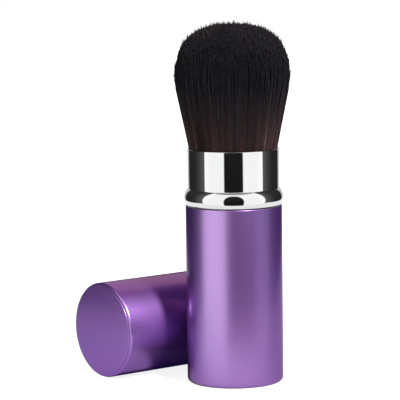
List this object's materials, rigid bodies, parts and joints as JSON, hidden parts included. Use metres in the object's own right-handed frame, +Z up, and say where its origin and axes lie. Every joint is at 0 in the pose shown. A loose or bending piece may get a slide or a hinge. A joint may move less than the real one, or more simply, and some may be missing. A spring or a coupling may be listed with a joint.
{
  "type": "retractable powder brush",
  "caption": "Round-headed powder brush on a tubular metal case, with a chrome collar that slides up over the bristles, and its tubular cap lying beside it.",
  "frame": {"origin": "middle of the case's flat base, on the surface that the brush stands on", "axes": "+Z up along the brush, towards the bristles; the cap lies along X with its closed end towards -X and its open mouth towards +X, on the +Y side of the case"},
  "size_m": [0.059, 0.0688, 0.119],
  "materials": {
    "purple_anodised": "satin, anodised purple",
    "chrome": "mirror polished",
    "bristle": "fine synthetic filament, near black, dark red-brown at the foot",
    "bright_aluminium": "drawn, bright",
    "plated_steel": "zinc plated",
    "black_plastic": "moulded, matt",
    "natural_plastic": "moulded, undyed",
    "silicone": "matt",
    "resin": "cast, clear amber"
  },
  "bodies": {
    "case": {"case_shell": "purple_anodised", "base_weight": "plated_steel", "case_liner": "black_plastic", "mouth_bush": "natural_plastic", "drag_ring_lower": "silicone", "drag_ring_upper": "silicone", "core_post": "black_plastic", "screw_washer": "plated_steel", "post_screw": "plated_steel", "cup_screw": "plated_steel", "brush_cup": "bright_aluminium", "resin_plug": "resin", "binding_band": "bright_aluminium", "bristle_tuft": "bristle"},
    "sleeve": {"sleeve_tube": "bright_aluminium", "chrome_collar": "chrome", "collar_core": "black_plastic", "foot_ring": "natural_plastic"},
    "cap": {"cap_shell": "purple_anodised", "cap_liner": "natural_plastic"}
  },
  "joints": [
    {"name": "sleeve_slide", "type": "slide", "parent": "case", "child": "sleeve", "axis": [0, 0, 1], "range_m": [0, 0.0385], "deforming": ["bristle_tuft"]},
    {"name": "cap_lift", "type": "slide", "parent": "case", "child": "cap", "axis": [0, 0, 1], "range_m": [0, 0.05]}
  ]
}
